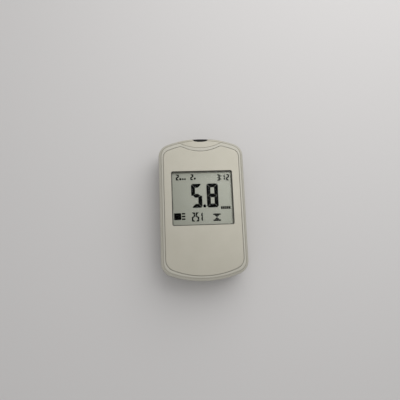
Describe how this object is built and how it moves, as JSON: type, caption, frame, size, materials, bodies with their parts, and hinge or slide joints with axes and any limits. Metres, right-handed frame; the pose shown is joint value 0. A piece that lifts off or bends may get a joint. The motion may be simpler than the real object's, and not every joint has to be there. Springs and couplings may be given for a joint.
{
  "type": "blood glucose meter",
  "caption": "Handheld blood glucose meter with a segment display, a test strip port, side and back buttons and a sliding battery door.",
  "frame": {"origin": "middle of the footprint, on the surface that the feet stand on", "axes": "+Z out of the display, +Y towards the test strip port, +X to the right of the display"},
  "size_m": [0.0528, 0.088, 0.0214],
  "materials": {
    "case_plastic": "satin warm silver-grey moulded plastic with a fine spark texture",
    "panel_plastic": "satin warm silver-grey painted plastic, slightly smoother than the case",
    "clear_lens": "clear hard-coated window",
    "black_adhesive": "black die-cut adhesive frame",
    "black_plastic": "black moulded plastic",
    "gold_plate": "gold-plated spring contacts",
    "board_laminate": "green solder mask on glass laminate",
    "display_glass": "reflective grey-green display glass",
    "white_plastic": "white moulded plastic",
    "zebra_rubber": "layered conductive rubber",
    "button_plastic": "satin mid-grey moulded plastic",
    "switch_steel": "bare stamped metal",
    "cell_wrap": null,
    "nickel_steel": "nickel-plated spring steel",
    "screw_steel": "zinc-plated steel",
    "foot_rubber": "soft dark rubber",
    "chip_resin": "black moulded resin",
    "ceramic": "fired ceramic"
  },
  "bodies": {
    "housing": {"rear_cover": "case_plastic", "front_cover": "case_plastic", "face_panel": "panel_plastic", "port_cap": "panel_plastic", "display_window": "clear_lens", "window_adhesive": "black_adhesive", "strip_guide": "black_plastic", "strip_socket": "black_plastic", "buzzer": "black_plastic", "strip_contacts": "gold_plate", "circuit_board": "board_laminate", "lcd_glass": "display_glass", "lcd_frame": "white_plastic", "lcd_connectors": "zebra_rubber", "memory_switch": "switch_steel", "set_switch": "switch_steel", "battery_left": "cell_wrap", "battery_right": "cell_wrap", "battery_springs": "nickel_steel", "end_contacts": "nickel_steel", "bridge_contact": "nickel_steel", "case_screws": "screw_steel", "rubber_feet": "foot_rubber", "microcontroller": "chip_resin", "measuring_chip": "chip_resin", "crystal": "switch_steel", "capacitors": "ceramic"},
    "battery_door": {"battery_door": "case_plastic"},
    "memory_button": {"memory_button": "button_plastic", "memory_plunger": "black_plastic"},
    "set_button": {"set_button": "button_plastic", "set_plunger": "black_plastic"}
  },
  "joints": [
    {"name": "door_slide", "type": "slide", "parent": "housing", "child": "battery_door", "axis": [0, -1, 0], "range_m": [0, 0.055]},
    {"name": "memory_press", "type": "slide", "parent": "housing", "child": "memory_button", "axis": [-1, 0, 0], "range_m": [0, 0.0005], "stiffness_N_per_m": 1000},
    {"name": "set_press", "type": "slide", "parent": "housing", "child": "set_button", "axis": [0, 0, 1], "range_m": [0, 0.0005], "stiffness_N_per_m": 1000}
  ]
}
